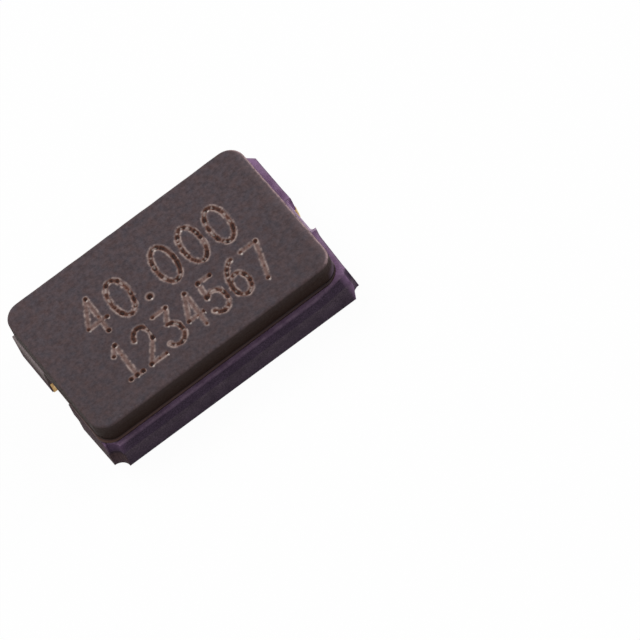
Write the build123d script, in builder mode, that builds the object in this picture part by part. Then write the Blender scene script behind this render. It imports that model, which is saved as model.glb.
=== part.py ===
"""Two-pad quartz crystal unit in a glass-sealed ceramic package, 5.0 x 3.2 mm.

A co-fired ceramic base carries two plated terminals and printed inner leads.
The quartz blank stands on two dots of conductive adhesive in the base's cavity.
A pressed ceramic lid closes the cavity on a frame of sealing glass.
X runs along the package, Z points up, and the origin is at the middle of the mounting plane.
"""

import os

from build123d import *

# Ceramic base: a pad layer under a frame layer, fired into one piece
package_length = 5.0
package_width = 3.2
pad_layer_height = 0.31
frame_layer_height = 0.36
corner_notch_radius = 0.19
base_edge_radius = 0.02

# Castellation in each end: a plated slot in the pad layer, a shallower neck in the frame layer
slot_width = 0.96
slot_depth = 0.26
slot_corner_radius = 0.12
neck_width = 0.84
neck_depth = 0.11
neck_corner_radius = 0.05

# Cavity inside the frame layer
frame_end_wall = 0.55
frame_side_wall = 0.50
cavity_corner_radius = 0.25

# Plated terminals under the base
plating_thickness = 0.02
pad_length = 1.27
pad_width = 2.07
pad_setback = 0.02
pin_mark = 0.18

# Pressed ceramic lid, set a little off the middle so that the ledges round it differ
ledge_left = 0.04
ledge_right = 0.175
ledge_front = 0.11
ledge_back = 0.02
lid_thickness = 0.40
lid_corner_radius = 0.35
lid_edge_radius = 0.075

# Sealing glass between the base and the lid
seal_thickness = 0.07
seal_bead = 0.02
seal_inset = 0.08

# Quartz blank, clear of the cavity's walls, and its metal films
blank_end_gap = 0.27
blank_tip_gap = 0.33
blank_side_gap = 0.225
blank_thickness = 0.062
electrode_end_margin = 0.70
electrode_side_margin = 0.25
electrode_corner_radius = 0.2
film_thickness = 0.01
tab_width = 0.40
tab_lap = 0.42
tab_edge_inset = 0.08

# Conductive adhesive under the blank
dot_diameter = 0.50
dot_height = 0.05
dot_flank_angle = 60

# Printed inner leads
lead_thickness = 0.02
lead_head_length = 0.24
lead_head_width = 0.90
lead_setback = 0.16
mount_pad_length = 0.56
trace_width = 0.20
trace_wall_gap = 0.06

# Levels, from the mounting plane up
base_bottom = plating_thickness
cavity_floor = base_bottom + pad_layer_height
base_top = cavity_floor + frame_layer_height
lid_bottom = base_top + seal_thickness
dot_bottom = cavity_floor + lead_thickness
dot_top = dot_bottom + dot_height
blank_bottom = dot_top + film_thickness
blank_top = blank_bottom + blank_thickness

# Sizes and places along the package and across it
end_x = package_length / 2
cavity_length = package_length - 2 * frame_end_wall
cavity_width = package_width - 2 * frame_side_wall
lid_length = package_length - ledge_left - ledge_right
lid_width = package_width - ledge_front - ledge_back
lid_centre = ((ledge_left - ledge_right) / 2, (ledge_front - ledge_back) / 2)
blank_length = cavity_length - blank_end_gap - blank_tip_gap
blank_width = cavity_width - 2 * blank_side_gap
electrode_length = blank_length - 2 * electrode_end_margin
electrode_width = blank_width - 2 * electrode_side_margin
head_x = end_x - lead_setback - lead_head_length / 2
blank_left = blank_end_gap - cavity_length / 2
blank_x = blank_left + blank_length / 2
tab_y = blank_width / 2 - tab_edge_inset - tab_width / 2
dot_x = blank_left + tab_lap / 2
mount_pad_width = dot_diameter + 2 * tab_edge_inset
trace_y = (lead_head_width - trace_width) / 2
trace_side_y = cavity_width / 2 - trace_wall_gap - trace_width / 2
trace_turn_x = cavity_length / 2 - trace_wall_gap - trace_width / 2

os.makedirs("parts", exist_ok=True)


def end_slot(side, width, depth, corner_radius, mode=Mode.ADD):
    """Draw a rounded slot of this depth, open to one end of the package."""
    with Locations((side * end_x, 0)):
        RectangleRounded(2 * depth, width, corner_radius, mode=mode)


def mount_pad(side):
    """Draw the metal area under one adhesive dot."""
    with Locations((dot_x, side * tab_y)):
        Rectangle(mount_pad_length, mount_pad_width)


def near_lead():
    """Draw the short lead, from the left castellation to the mount pad at the back."""
    with Locations((-head_x, 0)):
        Rectangle(lead_head_length, lead_head_width)
    with BuildLine() as path:
        Polyline(
            (-head_x, trace_y),
            (-trace_turn_x, trace_y),
            (-trace_turn_x, tab_y),
            (dot_x, tab_y),
        )
    trace(path.line, line_width=trace_width)
    mount_pad(1)


def far_lead():
    """Draw the long lead, from the right castellation along the front wall to its mount pad."""
    with Locations((head_x, 0)):
        Rectangle(lead_head_length, lead_head_width)
    with BuildLine() as path:
        Polyline(
            (head_x, -trace_y),
            (trace_turn_x, -trace_y),
            (trace_turn_x, -trace_side_y),
            (dot_x, -trace_side_y),
        )
    trace(path.line, line_width=trace_width)
    mount_pad(-1)


def electrode_field():
    """Draw the driven area in the middle of the blank."""
    with Locations((blank_x, 0)):
        RectangleRounded(electrode_length, electrode_width, electrode_corner_radius)


def electrode_tab(side):
    """Draw the strip that leads from the driven area to one corner of the blank."""
    tab_length = blank_x - blank_left
    with Locations((blank_left + tab_length / 2, side * tab_y)):
        Rectangle(tab_length, tab_width)


def write(piece, name):
    """Label a finished piece and write it as its own file."""
    piece.label = name
    export_step(piece, f"parts/{name}.step")


# Ceramic base
with BuildPart() as ceramic_base:
    with BuildSketch(Plane.XY.offset(base_bottom)):
        Rectangle(package_length, package_width)
        with GridLocations(package_length, package_width, 2, 2):
            Circle(corner_notch_radius, mode=Mode.SUBTRACT)
    extrude(amount=pad_layer_height + frame_layer_height)
    with BuildSketch(Plane.XY.offset(base_bottom)):
        for side in (-1, 1):
            end_slot(side, slot_width, slot_depth, slot_corner_radius)
    extrude(amount=pad_layer_height, mode=Mode.SUBTRACT)
    with BuildSketch(Plane.XY.offset(cavity_floor)):
        for side in (-1, 1):
            end_slot(side, neck_width, neck_depth, neck_corner_radius)
    extrude(amount=frame_layer_height, mode=Mode.SUBTRACT)
    rim = ceramic_base.faces().sort_by(Axis.Z)[-1].outer_wire().edges()
    fillet(rim, radius=base_edge_radius)
    with BuildSketch(Plane.XY.offset(cavity_floor)):
        RectangleRounded(cavity_length, cavity_width, cavity_corner_radius)
    extrude(amount=frame_layer_height, mode=Mode.SUBTRACT)
    with BuildSketch(Plane.XY.offset(cavity_floor)):
        near_lead()
        far_lead()
    extrude(amount=lead_thickness, mode=Mode.SUBTRACT)
write(ceramic_base.part, "ceramic_base")

# Plated terminals: a solder pad below and the lining of its slot, with a pin mark on the left one
for name, side, marked in (("terminal_left", -1, True), ("terminal_right", 1, False)):
    with BuildPart() as terminal:
        with BuildSketch() as pad:
            with Locations((side * (end_x - pad_setback - pad_length / 2), 0)):
                Rectangle(pad_length, pad_width)
            if marked:
                inner_corners = pad.vertices().sort_by(Axis.X)[-2:]
                chamfer(inner_corners.sort_by(Axis.Y)[-1], length=pin_mark)
            end_slot(
                side,
                slot_width - 2 * plating_thickness,
                slot_depth - plating_thickness,
                slot_corner_radius - plating_thickness,
                mode=Mode.SUBTRACT,
            )
        extrude(amount=plating_thickness)
        with BuildSketch(Plane.XY.offset(base_bottom)):
            end_slot(side, slot_width, slot_depth, slot_corner_radius)
            end_slot(
                side,
                slot_width - 2 * plating_thickness,
                slot_depth - plating_thickness,
                slot_corner_radius - plating_thickness,
                mode=Mode.SUBTRACT,
            )
            with Locations((side * (end_x - pad_setback - pad_length / 2), 0)):
                Rectangle(pad_length, pad_width, mode=Mode.INTERSECT)
        extrude(amount=pad_layer_height)
    write(terminal.part, name)

# Inner leads, printed between the layers and across the cavity's floor
for name, lead_outline in (("inner_lead_near", near_lead), ("inner_lead_far", far_lead)):
    with BuildPart() as inner_lead:
        with BuildSketch(Plane.XY.offset(cavity_floor)):
            lead_outline()
        extrude(amount=lead_thickness)
    write(inner_lead.part, name)

# Adhesive dots, wider at the foot
for name, side in (("adhesive_dot_near", 1), ("adhesive_dot_far", -1)):
    with BuildPart() as adhesive_dot:
        with BuildSketch(Plane.XY.offset(dot_bottom)):
            with Locations((dot_x, side * tab_y)):
                Circle(dot_diameter / 2)
        extrude(amount=dot_height, taper=dot_flank_angle)
    write(adhesive_dot.part, name)

# Quartz blank
with BuildPart() as quartz_blank:
    with BuildSketch(Plane.XY.offset(blank_bottom)):
        with Locations((blank_x, 0)):
            Rectangle(blank_length, blank_width)
    extrude(amount=blank_thickness)
write(quartz_blank.part, "quartz_blank")

# Lower electrode, with its tab over the front dot
with BuildPart() as electrode_bottom:
    with BuildSketch(Plane.XY.offset(dot_top)):
        electrode_field()
        electrode_tab(-1)
    extrude(amount=film_thickness)
write(electrode_bottom.part, "electrode_bottom")

# Upper electrode, whose tab wraps the end of the blank and ends over the back dot
with BuildPart() as electrode_top:
    with BuildSketch(Plane.XY.offset(blank_top)):
        electrode_field()
        electrode_tab(1)
    extrude(amount=film_thickness)
    with BuildSketch(Plane.XZ.offset(-tab_y)):
        with Locations((blank_left, dot_top)):
            Rectangle(tab_lap, film_thickness, align=(Align.MIN, Align.MIN))
            Rectangle(
                film_thickness,
                blank_thickness + 2 * film_thickness,
                align=(Align.MAX, Align.MIN),
            )
    extrude(amount=tab_width / 2, both=True)
write(electrode_top.part, "electrode_top")

# Sealing glass: a frame whose outer edge swells past the lid
with BuildPart() as glass_seal:
    with BuildSketch(Plane.XY.offset(base_top)):
        with Locations(lid_centre):
            RectangleRounded(
                lid_length + 2 * seal_bead,
                lid_width + 2 * seal_bead,
                lid_corner_radius + seal_bead,
            )
        RectangleRounded(
            cavity_length + 2 * seal_inset,
            cavity_width + 2 * seal_inset,
            cavity_corner_radius + seal_inset,
            mode=Mode.SUBTRACT,
        )
    extrude(amount=seal_thickness)
    bead = glass_seal.faces().sort_by(Axis.Z)[-1].outer_wire().edges()
    fillet(bead, radius=seal_bead)
write(glass_seal.part, "glass_seal")

# Pressed ceramic lid with a softened top edge
with BuildPart() as ceramic_lid:
    with BuildSketch(Plane.XY.offset(lid_bottom)):
        with Locations(lid_centre):
            RectangleRounded(lid_length, lid_width, lid_corner_radius)
    extrude(amount=lid_thickness)
    fillet(ceramic_lid.faces().sort_by(Axis.Z)[-1].edges(), radius=lid_edge_radius)
write(ceramic_lid.part, "ceramic_lid")
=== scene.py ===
import math

import bpy
import numpy as np
from mathutils import Matrix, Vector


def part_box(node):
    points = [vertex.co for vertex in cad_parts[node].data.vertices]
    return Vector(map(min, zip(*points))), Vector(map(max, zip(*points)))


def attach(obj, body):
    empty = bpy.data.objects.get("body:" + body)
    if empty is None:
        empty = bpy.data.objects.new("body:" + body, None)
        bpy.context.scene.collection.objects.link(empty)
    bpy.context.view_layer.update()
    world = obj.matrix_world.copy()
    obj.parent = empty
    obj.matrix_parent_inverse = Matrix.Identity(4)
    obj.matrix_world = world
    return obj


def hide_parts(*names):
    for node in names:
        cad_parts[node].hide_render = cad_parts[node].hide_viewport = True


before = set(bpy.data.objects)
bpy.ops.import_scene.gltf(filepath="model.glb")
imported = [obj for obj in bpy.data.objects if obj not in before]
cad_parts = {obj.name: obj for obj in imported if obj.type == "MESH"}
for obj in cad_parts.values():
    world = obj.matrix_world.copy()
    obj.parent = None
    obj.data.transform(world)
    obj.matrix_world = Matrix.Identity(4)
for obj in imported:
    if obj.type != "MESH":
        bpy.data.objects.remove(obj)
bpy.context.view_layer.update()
mm = 0.001  # shapes are worked out in millimetres and stored in metres
print("frame loaded with", len(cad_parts), "nodes")


def nodeBox(name):
    low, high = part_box(name)
    return np.array(low) / mm, np.array(high) / mm


def srgb(red, green, blue):
    # Screen colour from 0 to 255 turned into linear light by the usual 2.4 power curve
    tone = np.array((red, green, blue)) / 255.0
    linear = np.where(tone <= 0.04045, tone / 12.92, ((tone + 0.055) / 1.055) ** 2.4)
    return (*linear.tolist(), 1.0)


baseLow, baseHigh = nodeBox("ceramic_base")
lidLow, lidHigh = nodeBox("ceramic_lid")
padLow, padHigh = nodeBox("terminal_right")
baseHalf = (baseHigh - baseLow)[:2] / 2
lidHalf = (lidHigh - lidLow)[:2] / 2
lidMiddle = (lidHigh + lidLow)[:2] / 2
lidCorner = 0.31  # plan radius of the lid's corners


# Camera and lamps

view = dict(
    elevation=55.50, azimuth=-10.01, roll=28.13,  # degrees, from the fit to the photograph
    distance=180.6,  # mm from the anchor point
    pixelsPerMm=60.807,  # at the anchor point
    anchorPixel=(190.42, 321.21),  # where the middle of the base's underside shows
    imageSize=640,
    sensor=36.0, clip=(0.01, 2.0),
)


def aim(name, data, spot, axis, up):
    # Adds a camera or a lamp that stands at the spot and looks against the axis
    side = np.cross(up, axis)
    side /= np.linalg.norm(side)
    turn = np.column_stack([side, np.cross(axis, side), axis])
    holder = bpy.data.objects.new(name, data)
    holder.matrix_world = Matrix.Translation((spot * mm).tolist()) @ Matrix(turn.tolist()).to_4x4()
    bpy.context.scene.collection.objects.link(holder)
    return holder


def placeCamera(v):
    elevation, azimuth, roll = np.radians([v["elevation"], v["azimuth"], v["roll"]])
    back = np.array([
        math.sin(azimuth) * math.cos(elevation),
        -math.cos(azimuth) * math.cos(elevation),
        math.sin(elevation),
    ])
    level = np.array([math.cos(azimuth), math.sin(azimuth), 0.0])
    rise = np.cross(back, level)
    right = math.cos(roll) * level - math.sin(roll) * rise
    up = math.sin(roll) * level + math.cos(roll) * rise
    anchor = np.array([0.0, 0.0, baseLow[2]])
    spot = anchor + back * v["distance"]
    offset = (v["imageSize"] / 2 - np.array(v["anchorPixel"])) / v["pixelsPerMm"]
    target = anchor + right * offset[0] - up * offset[1]
    axis = (spot - target) / np.linalg.norm(spot - target)
    data = bpy.data.cameras.new("photoCamera")
    data.sensor_width = v["sensor"]
    data.lens = v["pixelsPerMm"] * v["distance"] * v["sensor"] / v["imageSize"]
    data.clip_start, data.clip_end = v["clip"]
    bpy.context.scene.camera = aim("photoCamera", data, spot, axis, up)


# A level of 1 lights a white surface that faces the lamp to full white
lamps = [
    dict(name="backSoftbox", azimuth=116, elevation=55, distance=150, size=80, level=0.54),
    dict(name="rightSoftbox", azimuth=-2, elevation=28, distance=150, size=100, level=0.42),
]


def placeLamp(lamp):
    azimuth, elevation = math.radians(lamp["azimuth"]), math.radians(lamp["elevation"])
    axis = np.array([
        math.cos(azimuth) * math.cos(elevation),
        math.sin(azimuth) * math.cos(elevation),
        math.sin(elevation),
    ])
    data = bpy.data.lights.new(lamp["name"], "AREA")
    data.size = lamp["size"] * mm
    data.energy = lamp["level"] * (math.pi * lamp["distance"] * mm) ** 2
    aim(lamp["name"], data, axis * lamp["distance"], axis, (0.0, 0.0, 1.0))


placeCamera(view)
for lamp in lamps:
    placeLamp(lamp)
bpy.context.scene.view_settings.view_transform = "Standard"
print("camera and", len(lamps), "lamps placed")


# Small helpers for building materials

def feed(tree, socket, value):
    if isinstance(value, bpy.types.NodeSocket):
        tree.links.new(value, socket)
    else:
        socket.default_value = value


def addNode(tree, kind, **inputs):
    node = tree.nodes.new(kind)
    for name, value in inputs.items():
        feed(tree, node.inputs[name], value)
    return node


def mixTones(tree, factor, first, second):
    node = tree.nodes.new("ShaderNodeMix")
    node.data_type = "RGBA"
    feed(tree, node.inputs[0], factor)
    feed(tree, node.inputs[6], first)
    feed(tree, node.inputs[7], second)
    return node.outputs[2]


def calculate(tree, operation, first, second):
    node = tree.nodes.new("ShaderNodeMath")
    node.operation = operation
    feed(tree, node.inputs[0], first)
    feed(tree, node.inputs[1], second)
    return node.outputs[0]


def spread(tree, value, low, high, toLow, toHigh):
    node = tree.nodes.new("ShaderNodeMapRange")
    for socket, given in zip(node.inputs[:5], (value, low, high, toLow, toHigh)):
        feed(tree, socket, given)
    return node.outputs[0]


def mask(tree, name):
    node = tree.nodes.new("ShaderNodeAttribute")
    node.attribute_name = name
    return node.outputs["Fac"]


def startMaterial(name):
    material = bpy.data.materials.new(name)
    material.use_nodes = True
    return material, material.node_tree


def overlay(tree, tone, name, over):
    # Lays another tone over this one where the piece's mask says
    return mixTones(tree, mask(tree, name), tone, over)


grainNoise = dict(detail=(3.0, 2.0), roughness=0.6, span=(0.3, 0.7))  # details of fine and broad


def makeGrainGroup(g):
    # Fine speckle and broad mottle of a fired or plated surface, both from 0 to 1.
    # Scales are in cells per millimetre.
    group = bpy.data.node_groups.new("surfaceGrain", "ShaderNodeTree")
    cellNames, maskNames = ("Fine Cells", "Broad Cells"), ("Speckle", "Mottle")
    for name in cellNames:
        group.interface.new_socket(name, in_out="INPUT", socket_type="NodeSocketFloat")
    for name in maskNames:
        group.interface.new_socket(name, in_out="OUTPUT", socket_type="NodeSocketFloat")
    given = group.nodes.new("NodeGroupInput")
    result = group.nodes.new("NodeGroupOutput")
    place = group.nodes.new("ShaderNodeTexCoord").outputs["Object"]
    for cells, name, detail in zip(cellNames, maskNames, g["detail"]):
        perMetre = calculate(group, "MULTIPLY", given.outputs[cells], 1 / mm)
        noise = addNode(group, "ShaderNodeTexNoise", Vector=place, Scale=perMetre, Detail=detail)
        noise.inputs["Roughness"].default_value = g["roughness"]
        feed(group, result.inputs[name], spread(group, noise.outputs["Fac"], *g["span"], 0.0, 1.0))
    return group


edgeBreaks = dict(detail=2.0, span=(0.3, 0.6), least=0.35)  # noise that breaks up the worn and painted-highlight edges


def makeEdgeGroup(e):
    # Lightens the rounded edges, partly as wear from handling and partly as a painted highlight where the
    # lamps catch them. The piece's "edge" mask says where, and a noise breaks the line up.
    group = bpy.data.node_groups.new("wornEdgeAndHighlight", "ShaderNodeTree")
    for name, kind in (("Tone", "Color"), ("Edge Tone", "Color"), ("Amount", "Float"), ("Cells", "Float")):
        group.interface.new_socket(name, in_out="INPUT", socket_type="NodeSocket" + kind)
    group.interface.new_socket("Tone", in_out="OUTPUT", socket_type="NodeSocketColor")
    given = group.nodes.new("NodeGroupInput")
    result = group.nodes.new("NodeGroupOutput")
    place = group.nodes.new("ShaderNodeTexCoord").outputs["Object"]
    perMetre = calculate(group, "MULTIPLY", given.outputs["Cells"], 1 / mm)
    noise = addNode(group, "ShaderNodeTexNoise", Vector=place, Scale=perMetre, Detail=e["detail"])
    broken = spread(group, noise.outputs["Fac"], *e["span"], e["least"], 1.0)
    where = calculate(group, "MULTIPLY", mask(group, "edge"), broken)
    amount = calculate(group, "MULTIPLY", where, given.outputs["Amount"])
    feed(group, result.inputs[0], mixTones(group, amount, given.outputs["Tone"], given.outputs["Edge Tone"]))
    return group


grainGroup = makeGrainGroup(grainNoise)
edgeGroup = makeEdgeGroup(edgeBreaks)


def addGrain(tree, fineCells, broadCells):
    node = tree.nodes.new("ShaderNodeGroup")
    node.node_tree = grainGroup
    node.inputs["Fine Cells"].default_value = fineCells
    node.inputs["Broad Cells"].default_value = broadCells
    return node.outputs["Speckle"], node.outputs["Mottle"]


def addWornEdgeAndHighlight(tree, tone, edgeTone, amount, cells):
    node = tree.nodes.new("ShaderNodeGroup")
    node.node_tree = edgeGroup
    feed(tree, node.inputs["Tone"], tone)
    node.inputs["Edge Tone"].default_value = edgeTone
    node.inputs["Amount"].default_value = amount
    node.inputs["Cells"].default_value = cells
    return node.outputs["Tone"]


def startFinish(name, f):
    # A new material, its tree, and its fine and broad grain
    material, tree = startMaterial(name)
    return (material, tree, *addGrain(tree, *f["cells"]))


def endFinish(material, f, tone, rough, relief):
    tree = material.node_tree
    bump = addNode(tree, "ShaderNodeBump", Height=relief, Distance=f["bump"] * mm)
    given = {"Base Color": tone, "Roughness": rough, "Normal": bump.outputs["Normal"], **f["plain"]}
    for name, value in given.items():
        feed(tree, tree.nodes["Principled BSDF"].inputs[name], value)
    return material


# Materials. In each finish, cells are the fine and broad grain per mm, rubAndHighlight is the strength of
# the rubbed edge, partly wear and partly a painted highlight, and its breaks per mm, rough the range of
# roughness, bump the height of the grain in mm and plain the shader's fixed inputs.

lidFinish = dict(
    cells=(16.0, 6.0),
    dark=srgb(60, 51, 54), light=srgb(101, 89, 93),  # speckle on the top
    warm=srgb(88, 66, 63), cool=srgb(69, 67, 75), stain=0.4,  # broad stain and its share
    # side tones: painted shade on the walls that face away from the lamps, darker towards the foot
    shadedSideHigh=srgb(50, 37, 33), shadedSideLow=srgb(34, 19, 13),
    film=srgb(100, 84, 100),  # seal glass drawn up the side at one corner
    # edge tone: a painted highlight on the lid's rounded edge, strongest at the right end that faces the
    # side lamp
    edge=srgb(208, 176, 178), rubAndHighlight=(0.7, 18.0),
    rim=srgb(166, 146, 140), floor=srgb(92, 70, 66), burr=srgb(138, 113, 107),  # laser strokes
    # bead tone: raised melt lit up as a painted glint
    wall=srgb(112, 77, 66), pit=srgb(45, 27, 24), bead=srgb(232, 220, 214),
    pitWall=(0.0, 0.2), pitDark=(0.15, 0.9),  # depths over which a pit turns brown and dark
    rough=(0.62, 0.82), molten=0.3,  # a pit is smoother by the second
    bump=0.006, plain={"Specular IOR Level": 0.1},
)


def makeLidCeramic(f):
    material, tree, speckle, mottle = startFinish("lidCeramic", f)
    grain = mixTones(tree, speckle, f["dark"], f["light"])
    tone = mixTones(tree, f["stain"], grain, mixTones(tree, mottle, f["warm"], f["cool"]))
    # painted shade, darker towards the front of the top
    tone = overlay(tree, tone, "dusk", f["dark"])
    # Painted shade on the sides, darker towards the foot, with the glass film at one corner over it
    shadedSideTone = overlay(tree, overlay(tree, f["shadedSideLow"], "height", f["shadedSideHigh"]), "film", f["film"])
    tone = addWornEdgeAndHighlight(tree, overlay(tree, tone, "side", shadedSideTone), f["edge"], *f["rubAndHighlight"])
    tone = overlay(tree, tone, "groove", mixTones(tree, speckle, f["floor"], f["burr"]))
    tone = overlay(tree, tone, "rim", f["rim"])
    depth = mask(tree, "pit")
    burnt = mixTones(tree, spread(tree, depth, *f["pitDark"], 0.0, 1.0), f["wall"], f["pit"])
    tone = mixTones(tree, spread(tree, depth, *f["pitWall"], 0.0, 1.0), tone, burnt)
    tone = overlay(tree, tone, "bead", f["bead"])
    rough = spread(tree, speckle, 0.0, 1.0, *f["rough"])
    rough = calculate(tree, "SUBTRACT", rough, calculate(tree, "MULTIPLY", depth, f["molten"]))
    return endFinish(material, f, tone, rough, speckle)


baseFinish = dict(
    cells=(42.0, 3.2),
    dark=srgb(40, 29, 43), light=srgb(90, 74, 93),  # frame layer, also at the foot of the walls
    padDark=srgb(59, 48, 58), padLight=srgb(109, 95, 106),  # pad layer
    shade=srgb(30, 18, 34), stain=0.45,  # broad stain on both, and its share
    ledgeDark=srgb(126, 92, 130), ledgeLight=srgb(168, 134, 172),  # thin glassy film round the seal
    smearAndSheenDark=srgb(120, 109, 107), smearAndSheenLight=srgb(162, 152, 147),  # thicker film on the narrow ledge, painted paler as a sheen
    glazeAndHighlight=srgb(232, 204, 230),  # thick film in the right neck, painted pale as a highlight
    sootDark=srgb(50, 35, 37), sootLight=srgb(88, 68, 68),  # brown residue on the left end
    # edge tone: wear on the rims and foot, partly a painted highlight where the rounding catches the lamps
    edge=srgb(150, 128, 146), rubAndHighlight=(0.4, 14.0),
    rough=(0.65, 0.85), bump=0.004, plain={"Specular IOR Level": 0.06},
)


def makeBaseCeramic(f):
    material, tree, speckle, mottle = startFinish("baseCeramic", f)
    frameTone = mixTones(tree, speckle, f["dark"], f["light"])
    body = overlay(tree, frameTone, "pad", mixTones(tree, speckle, f["padDark"], f["padLight"]))
    body = mixTones(tree, spread(tree, mottle, 0.0, 1.0, f["stain"], 0.0), body, f["shade"])
    body = overlay(tree, body, "soot", mixTones(tree, speckle, f["sootDark"], f["sootLight"]))
    # painted shade in the front left notch, under the glass that spans it
    body = overlay(tree, body, "creaseShade", f["shade"])
    # ledge film, also laid on the right notches as a painted highlight
    tone = overlay(tree, body, "ledge", mixTones(tree, mottle, f["ledgeDark"], f["ledgeLight"]))
    # thicker film on the left end, painted paler as a sheen
    tone = overlay(tree, tone, "smearAndSheen", mixTones(tree, speckle, f["smearAndSheenDark"], f["smearAndSheenLight"]))
    # film in the right neck, painted pale as a highlight
    tone = overlay(tree, tone, "glazeAndHighlight", f["glazeAndHighlight"])
    tone = addWornEdgeAndHighlight(tree, tone, f["edge"], *f["rubAndHighlight"])
    return endFinish(material, f, tone, spread(tree, speckle, 0.0, 1.0, *f["rough"]), speckle)


sealFinish = dict(
    cells=(30.0, 5.0),
    # light is painted light on the bead's swell; dark is the glass's tone and its painted shade below
    dark=srgb(36, 25, 27), light=srgb(64, 47, 46), streaks=0.5,  # share of dark streaks in the light
    litCrest=srgb(98, 72, 64), paleAndLit=srgb(186, 156, 172),
    rough=(0.3, 0.5), bump=0.004, plain={"Specular IOR Level": 0.12},
)


def makeSealGlass(f):
    material, tree, speckle, mottle = startFinish("sealGlass", f)
    lit = mixTones(tree, spread(tree, mottle, 0.0, 1.0, 0.0, f["streaks"]), f["light"], f["dark"])
    # Painted light on the swell of the bead over its painted shade, then the painted highlights
    tone = overlay(tree, f["dark"], "edge", lit)
    tone = overlay(tree, tone, "litCrest", f["litCrest"])
    tone = overlay(tree, tone, "paleAndLit", f["paleAndLit"])
    return endFinish(material, f, tone, spread(tree, speckle, 0.0, 1.0, *f["rough"]), mottle)


goldFinish = dict(
    cells=(24.0, 4.0),
    dark=srgb(166, 124, 66), light=srgb(240, 212, 150),
    border=srgb(146, 104, 54), stain=(0.4, 0.9),  # darker borders, and the range of their strength
    # edge tone: wear on the lip and pad edges and a painted highlight, full on the right tip
    edge=srgb(250, 232, 180), rubAndHighlight=(0.6, 20.0),
    rough=(0.52, 0.34), bump=0.006, plain={"Metallic": 1.0},
)


def makeGoldPlating(f):
    material, tree, speckle, mottle = startFinish("goldPlating", f)
    tone = mixTones(tree, speckle, f["dark"], f["light"])
    stain = calculate(tree, "MULTIPLY", mask(tree, "border"), spread(tree, mottle, 0.0, 1.0, *f["stain"]))
    tone = mixTones(tree, stain, tone, f["border"])
    tone = addWornEdgeAndHighlight(tree, tone, f["edge"], *f["rubAndHighlight"])
    return endFinish(material, f, tone, spread(tree, speckle, 0.0, 1.0, *f["rough"]), speckle)


innerFinishes = dict(
    printedLead=dict(
        dark=srgb(176, 132, 72), light=srgb(226, 190, 122), metallic=1.0, rough=(0.4, 0.6), cells=30.0),
    silverAdhesive=dict(
        dark=srgb(150, 150, 148), light=srgb(206, 206, 202), metallic=0.4, rough=(0.5, 0.7), cells=26.0),
    electrodeFilm=dict(
        dark=srgb(206, 206, 204), light=srgb(236, 236, 232), metallic=1.0, rough=(0.2, 0.32), cells=40.0),
)


def makeInnerFinish(name, f):
    coarser, stain = 6, 0.4
    f = dict(f, cells=(f["cells"], f["cells"] / coarser), bump=0.002, plain={"Metallic": f["metallic"]})
    material, tree, speckle, mottle = startFinish(name, f)
    tone = mixTones(tree, speckle, f["dark"], f["light"])
    tone = mixTones(tree, spread(tree, mottle, 0.0, 1.0, 0.0, stain), tone, f["dark"])
    return endFinish(material, f, tone, spread(tree, mottle, 0.0, 1.0, *f["rough"]), speckle)


quartzFinish = dict(
    cells=(60.0, 8.0), clear=srgb(232, 238, 238), frost=srgb(206, 214, 214),
    rough=(0.12, 0.3), bump=0.001, plain={"IOR": 1.54, "Transmission Weight": 0.85},
)


def makeQuartz(f):
    material, tree, speckle, mottle = startFinish("lappedQuartz", f)
    tone = mixTones(tree, mottle, f["clear"], f["frost"])
    return endFinish(material, f, tone, spread(tree, speckle, 0.0, 1.0, *f["rough"]), speckle)


lidCeramic = makeLidCeramic(lidFinish)
baseCeramic = makeBaseCeramic(baseFinish)
sealGlass = makeSealGlass(sealFinish)
goldPlating = makeGoldPlating(goldFinish)
innerMaterials = {name: makeInnerFinish(name, f) for name, f in innerFinishes.items()}
lappedQuartz = makeQuartz(quartzFinish)
print("materials made:", len(bpy.data.materials))


# Mesh helpers

def numberLoops(points):
    # Vertex numbers of an array of loops, in the order in which they are stored
    return np.arange(points.shape[0] * points.shape[1]).reshape(points.shape[:2])


def ringFaces(loops):
    # Joins each closed loop of vertex numbers to the next one with four-sided faces
    lower, upper = loops[:-1], loops[1:]
    nextLower, nextUpper = np.roll(lower, -1, axis=1), np.roll(upper, -1, axis=1)
    return np.stack([lower, nextLower, nextUpper, upper], axis=-1).reshape(-1, 4)


def stations(stops, steps):
    # Stretches of evenly spaced places, each stretch with its own step
    runs = [
        np.linspace(a, b, math.ceil((b - a) / step) + 1)[:-1]
        for a, b, step in zip(stops[:-1], stops[1:], steps)
    ]
    return np.append(np.concatenate(runs), stops[-1])


def run(start, end, count):
    # Even points from start to end, without the end
    return np.linspace(start, end, count, endpoint=False)


def bow(centre, radius, fromAngle, toAngle, count):
    # Points on an arc, centre plus radius times cosine and sine, without the end
    angle = np.radians(run(fromAngle, toAngle, count))
    return np.array(centre) + radius * np.stack([np.cos(angle), np.sin(angle)], axis=1)


def raised(outline, height):
    return np.column_stack([outline, np.full(len(outline), height)])


def ramp(values, start, width):
    # 0 up to the start, then rising evenly to 1 over the width
    return np.clip((values - start) / width, 0, 1)


def bell(distance, reach):
    # e to the minus square of the distance over the reach
    return np.exp(-((distance / reach) ** 2))


def inset(outline, amount):
    # Moves each point of a closed outline inwards by the amount, along the mean of its two edges' normals
    sharpest = 2.8  # keeps the move short where the outline turns sharply
    along = np.roll(outline, -1, axis=0) - outline
    along /= np.linalg.norm(along, axis=1, keepdims=True)
    outward = np.stack([along[:, 1], -along[:, 0]], axis=1)
    both = outward + np.roll(outward, 1, axis=0)
    both *= 2 / np.maximum(np.sum(both * both, axis=1, keepdims=True), sharpest)
    return outline - both * amount


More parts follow.
